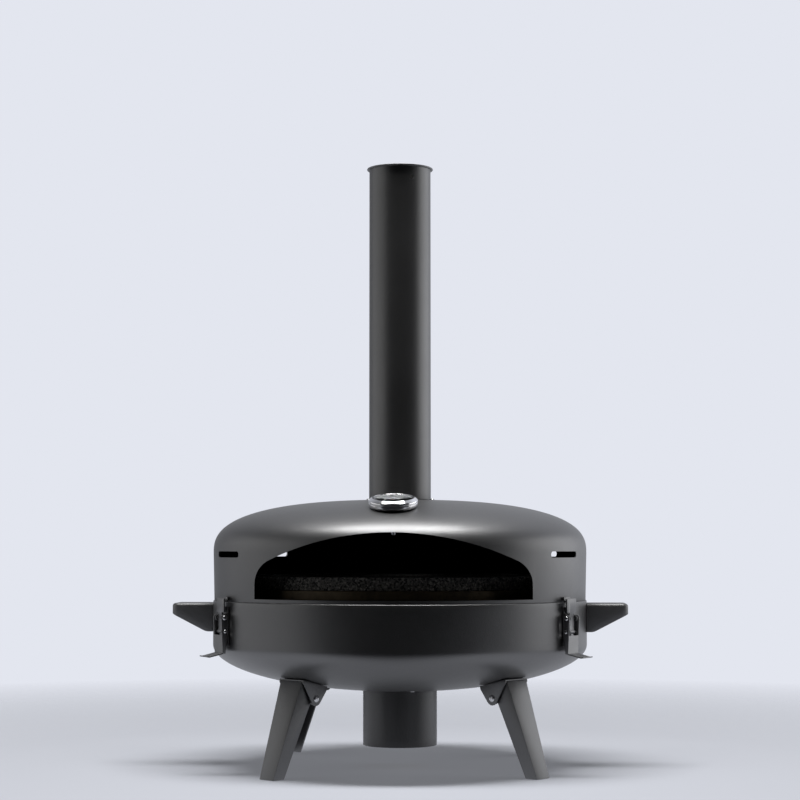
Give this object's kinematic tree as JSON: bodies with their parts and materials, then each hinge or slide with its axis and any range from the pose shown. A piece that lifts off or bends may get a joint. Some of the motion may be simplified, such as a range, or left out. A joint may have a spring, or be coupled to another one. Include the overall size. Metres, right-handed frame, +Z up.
{
  "type": "wood fired pizza oven",
  "caption": "Portable round steel pizza oven: bowl and hood held by toggle latches, arched mouth, flue pipe, dial thermometer, side handles and folding legs.",
  "frame": {"origin": "on the floor under the body's axis, midway between the feet", "axes": "+Z up along the flue, -Y out of the mouth, +X to the right seen from the front"},
  "size_m": [0.584, 0.48, 0.7735],
  "materials": {
    "black_coating": "satin black heat-proof powder coat with a fine grain",
    "grey_coating": "satin dark grey powder coat",
    "bare_steel": "plain steel fasteners",
    "burnt_steel": "steel browned by heat",
    "stone": "speckled baking stone, dull",
    "chrome": "polished chrome",
    "glass": "clear flat glass",
    "dial_white": "white printed dial",
    "needle_red": "red painted pointer"
  },
  "bodies": {
    "base": {"bowl": "black_coating", "seat_ring": "burnt_steel", "ash_tube": "black_coating", "tube_rivet_1": "bare_steel", "tube_rivet_2": "bare_steel", "tube_rivet_3": "bare_steel", "fire_grate": "burnt_steel", "stone_carrier": "burnt_steel", "carrier_post_1": "burnt_steel", "carrier_post_2": "burnt_steel", "carrier_post_3": "burnt_steel", "carrier_post_4": "burnt_steel", "pizza_stone": "stone", "leg_bracket_front_left": "black_coating", "leg_pin_front_left": "bare_steel", "leg_bracket_front_right": "black_coating", "leg_pin_front_right": "bare_steel", "leg_bracket_rear_left": "black_coating", "leg_pin_rear_left": "bare_steel", "leg_bracket_rear_right": "black_coating", "leg_pin_rear_right": "bare_steel", "handle_left": "black_coating", "handle_bolt_left_1": "bare_steel", "handle_bolt_left_2": "bare_steel", "handle_right": "black_coating", "handle_bolt_right_1": "bare_steel", "handle_bolt_right_2": "bare_steel", "latch_base_left": "black_coating", "latch_pin_left_1": "bare_steel", "latch_pin_left_2": "bare_steel", "latch_base_right": "black_coating", "latch_pin_right_1": "bare_steel", "latch_pin_right_2": "bare_steel"},
    "hood": {"hood": "black_coating", "flue_collar": "black_coating", "collar_rivet_1": "bare_steel", "collar_rivet_2": "bare_steel", "collar_rivet_3": "bare_steel", "thermometer_case": "chrome", "thermometer_glass": "glass", "thermometer_dial": "dial_white", "thermometer_stem": "bare_steel", "thermometer_nut": "bare_steel", "hood_catch_left": "black_coating", "hood_catch_right": "black_coating"},
    "chimney": {"chimney": "black_coating"},
    "needle": {"thermometer_needle": "needle_red"},
    "ash_cup": {"ash_cup": "burnt_steel"},
    "leg_front_left": {"leg_front_left": "black_coating"},
    "leg_front_right": {"leg_front_right": "black_coating"},
    "leg_rear_left": {"leg_rear_left": "black_coating"},
    "leg_rear_right": {"leg_rear_right": "black_coating"},
    "lever_left": {"latch_lever_left": "grey_coating", "claw_pin_left": "bare_steel"},
    "claw_left": {"latch_claw_left": "grey_coating"},
    "lever_right": {"latch_lever_right": "grey_coating", "claw_pin_right": "bare_steel"},
    "claw_right": {"latch_claw_right": "grey_coating"}
  },
  "joints": [
    {"name": "hood_lift", "type": "slide", "parent": "base", "child": "hood", "axis": [0, 0, 1], "range_m": [0, 0.16]},
    {"name": "chimney_lift", "type": "slide", "parent": "hood", "child": "chimney", "axis": [0, 0, 1], "range_m": [0, 0.08]},
    {"name": "needle_turn", "type": "hinge", "parent": "hood", "child": "needle", "pos_m": [0, -0.169, 0.32832], "axis": [0, 0.2147, -0.9767], "range_deg": [0, 270]},
    {"name": "ash_cup_drop", "type": "slide", "parent": "base", "child": "ash_cup", "axis": [0, 0, -1], "range_m": [0, 0.014]},
    {"name": "fold_front_left", "type": "hinge", "parent": "base", "child": "leg_front_left", "pos_m": [-0.11153, -0.1283, 0.09466], "axis": [0.7547, -0.6561, 0], "range_deg": [0, 115]},
    {"name": "fold_front_right", "type": "hinge", "parent": "base", "child": "leg_front_right", "pos_m": [0.13212, -0.10698, 0.09466], "axis": [0.6293, 0.7771, 0], "range_deg": [0, 115]},
    {"name": "fold_rear_left", "type": "hinge", "parent": "base", "child": "leg_rear_left", "pos_m": [-0.12021, 0.12021, 0.09466], "axis": [-0.7071, -0.7071, 0], "range_deg": [0, 115]},
    {"name": "fold_rear_right", "type": "hinge", "parent": "base", "child": "leg_rear_right", "pos_m": [0.1283, 0.11153, 0.09466], "axis": [-0.6561, 0.7547, 0], "range_deg": [0, 115]},
    {"name": "latch_left", "type": "hinge", "parent": "base", "child": "lever_left", "pos_m": [-0.21656, -0.12004, 0.1925], "axis": [-0.4848, 0.8746, 0], "range_deg": [-6, 100]},
    {"name": "claw_left", "type": "hinge", "parent": "lever_left", "child": "claw_left", "pos_m": [-0.21568, -0.11955, 0.176], "axis": [-0.4848, 0.8746, 0], "range_deg": [-100, 6]},
    {"name": "latch_right", "type": "hinge", "parent": "base", "child": "lever_right", "pos_m": [0.21656, -0.12004, 0.1925], "axis": [-0.4848, -0.8746, 0], "range_deg": [-6, 100]},
    {"name": "claw_right", "type": "hinge", "parent": "lever_right", "child": "claw_right", "pos_m": [0.21568, -0.11955, 0.176], "axis": [-0.4848, -0.8746, 0], "range_deg": [-100, 6]}
  ],
  "couplings": [
    {"joint": "claw_left", "follows": "latch_left", "ratio": -1},
    {"joint": "claw_right", "follows": "latch_right", "ratio": -1}
  ]
}
